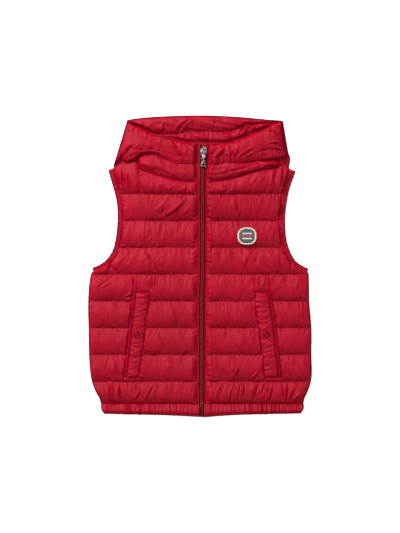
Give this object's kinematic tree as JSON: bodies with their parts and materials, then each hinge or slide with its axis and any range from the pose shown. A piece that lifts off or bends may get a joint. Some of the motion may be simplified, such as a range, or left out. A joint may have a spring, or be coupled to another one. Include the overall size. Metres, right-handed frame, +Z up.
{
  "type": "puffer vest",
  "caption": "Child's quilted puffer vest in deep red nylon, hooded and zipped, with snapped welt pockets, bound armholes and a gathered hem, laid flat on its back.",
  "frame": {"origin": "under the middle of the laid vest, on the surface that it lies on", "axes": "+X to the wearer's left, +Y along the vest's length towards the hood, +Z up, out of the vest's front"},
  "size_m": [0.3912, 0.5267, 0.0308],
  "materials": {
    "shell": "semi-matte woven nylon with a soft sheen",
    "lining": "plain woven nylon, a little duller than the shell",
    "zip_tape": "woven twill tape",
    "zip_coil": "satin moulded coil",
    "nickel": "polished, lightly worn nickel plate",
    "snap_enamel": "glossy enamel on a metal cap",
    "patch": "embroidered, thick thread edge"
  },
  "bodies": {
    "vest": {"armhole_binding_left": "shell", "armhole_binding_right": "shell", "back_panel": "shell", "chest_patch": "patch", "front_left": "shell", "front_right": "shell", "hem_band_back": "shell", "hem_band_front_left": "shell", "hem_band_front_right": "shell", "hood_back": "lining", "hood_lower_left": "shell", "hood_lower_right": "shell", "hood_rim_left": "shell", "hood_rim_right": "shell", "pocket_piping_left": "shell", "pocket_piping_right": "shell", "pocket_snap_left": "snap_enamel", "pocket_snap_right": "snap_enamel", "pocket_welt_left": "shell", "pocket_welt_right": "shell", "zip_chain": "zip_coil", "zip_slider": "nickel", "zip_tape_left": "zip_tape", "zip_tape_right": "zip_tape"},
    "pull": {"zip_pull": "nickel"}
  },
  "joints": [
    {"name": "pull_hinge", "type": "hinge", "parent": "vest", "child": "pull", "pos_m": [0.006, 0.1965, 0.01945], "axis": [-1, 0, 0], "range_deg": [0, 150]}
  ]
}
